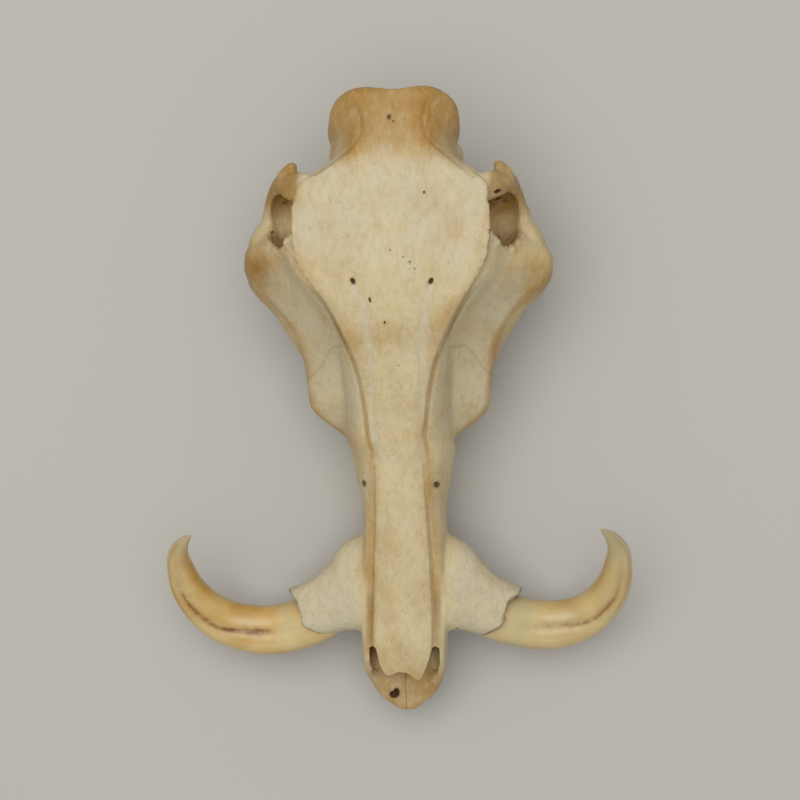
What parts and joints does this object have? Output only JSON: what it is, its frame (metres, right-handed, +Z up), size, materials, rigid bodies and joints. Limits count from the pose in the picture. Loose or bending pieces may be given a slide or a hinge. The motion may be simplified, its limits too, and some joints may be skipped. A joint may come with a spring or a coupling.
{
  "type": "warthog skull",
  "caption": "Warthog cranium without lower jaw: long snout, wide flat forehead, flared cheekbones and curved upper tusks in flared bone sockets, resting on its cheek teeth.",
  "frame": {"origin": "on the floor under the middle of the bounding box", "axes": "+X to the animal's left, +Y from the snout to the back of the head, +Z up with the skull lying on its cheek teeth"},
  "size_m": [0.2965, 0.3874, 0.154],
  "materials": {
    "bone": "dry cleaned bone, matt with a faint sheen",
    "ivory": "smooth amber tusk ivory with a soft gloss"
  },
  "bodies": {
    "root": {"braincase": "bone", "cheekbone_left": "bone", "cheekbone_right": "bone", "upper_jaw": "bone", "nasal_bones": "bone", "premaxilla_left": "bone", "premaxilla_right": "bone", "tusk_left": "ivory", "tusk_right": "ivory"}
  },
  "joints": []
}
